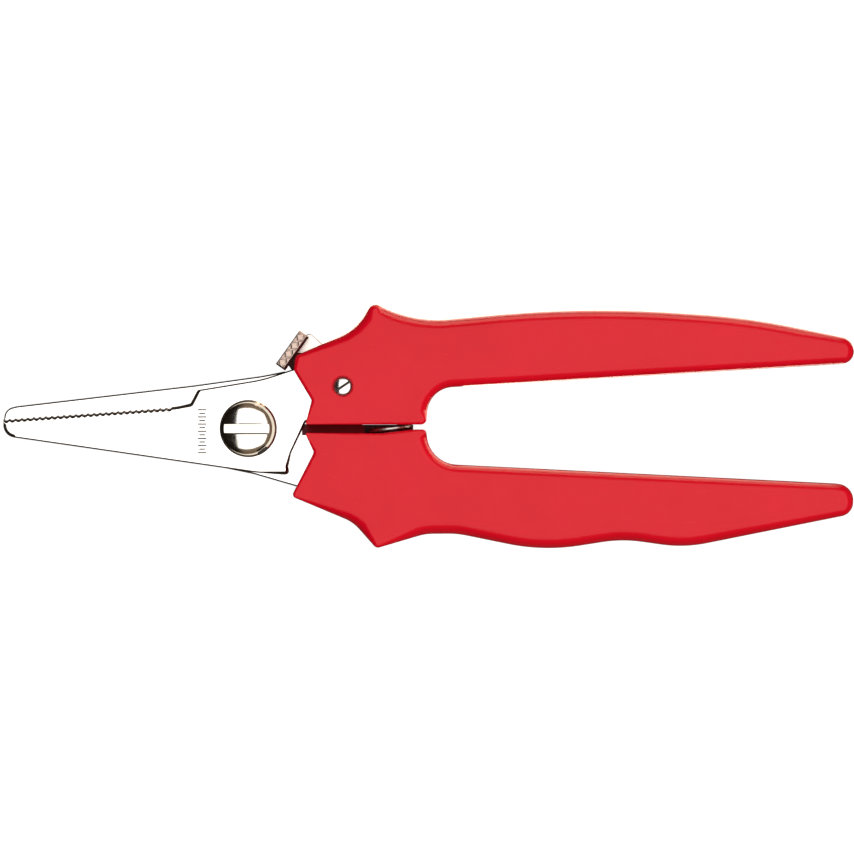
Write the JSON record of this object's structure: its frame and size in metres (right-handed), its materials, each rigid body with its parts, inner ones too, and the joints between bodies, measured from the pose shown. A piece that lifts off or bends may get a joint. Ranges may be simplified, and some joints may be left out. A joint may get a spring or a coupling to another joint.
{
  "type": "floral snips",
  "caption": "Floral snips with a micro-serrated blade crossing a plain blade, moulded grips, slotted pivot, thumb latch and opening spring.",
  "frame": {"origin": "centre of the closed snips' box, on the plane that the handles' back faces rest on", "axes": "+X towards the handle ends, +Y towards the handle with the latch, +Z from the backs of the handles towards the slotted screw head"},
  "size_m": [0.1899, 0.0543, 0.014],
  "materials": {
    "grip_red": "glossy moulded red",
    "blade_steel": "finely ground stainless",
    "screw_steel": "bright nickel plate",
    "washer_steel": "satin stainless",
    "latch_steel": "satin stainless sheet",
    "spring_steel": "drawn spring steel",
    "bushing_bronze": "turned bronze"
  },
  "bodies": {
    "lower_arm": {"back_blade": "blade_steel", "lower_handle": "grip_red", "opening_spring": "spring_steel"},
    "upper_arm": {"front_blade": "blade_steel", "upper_handle": "grip_red", "pivot_screw": "screw_steel", "pivot_lock_washer": "washer_steel", "pivot_bushing": "bushing_bronze", "pivot_spring_washer": "spring_steel", "pivot_nut": "screw_steel", "latch_screw": "screw_steel", "latch_spring_washer": "spring_steel", "latch_barrel_nut": "screw_steel"},
    "latch": {"latch_lever": "latch_steel"}
  },
  "joints": [
    {"name": "blade_pivot", "type": "hinge", "parent": "lower_arm", "child": "upper_arm", "pos_m": [-0.04055, -0.00055, 0.007], "axis": [0, 0, 1], "range_deg": [0, 28], "deforming": ["opening_spring"]},
    {"name": "latch_pivot", "type": "hinge", "parent": "upper_arm", "child": "latch", "pos_m": [-0.01905, 0.00885, 0.007], "axis": [0, 0, -1], "range_deg": [0, 20]}
  ]
}
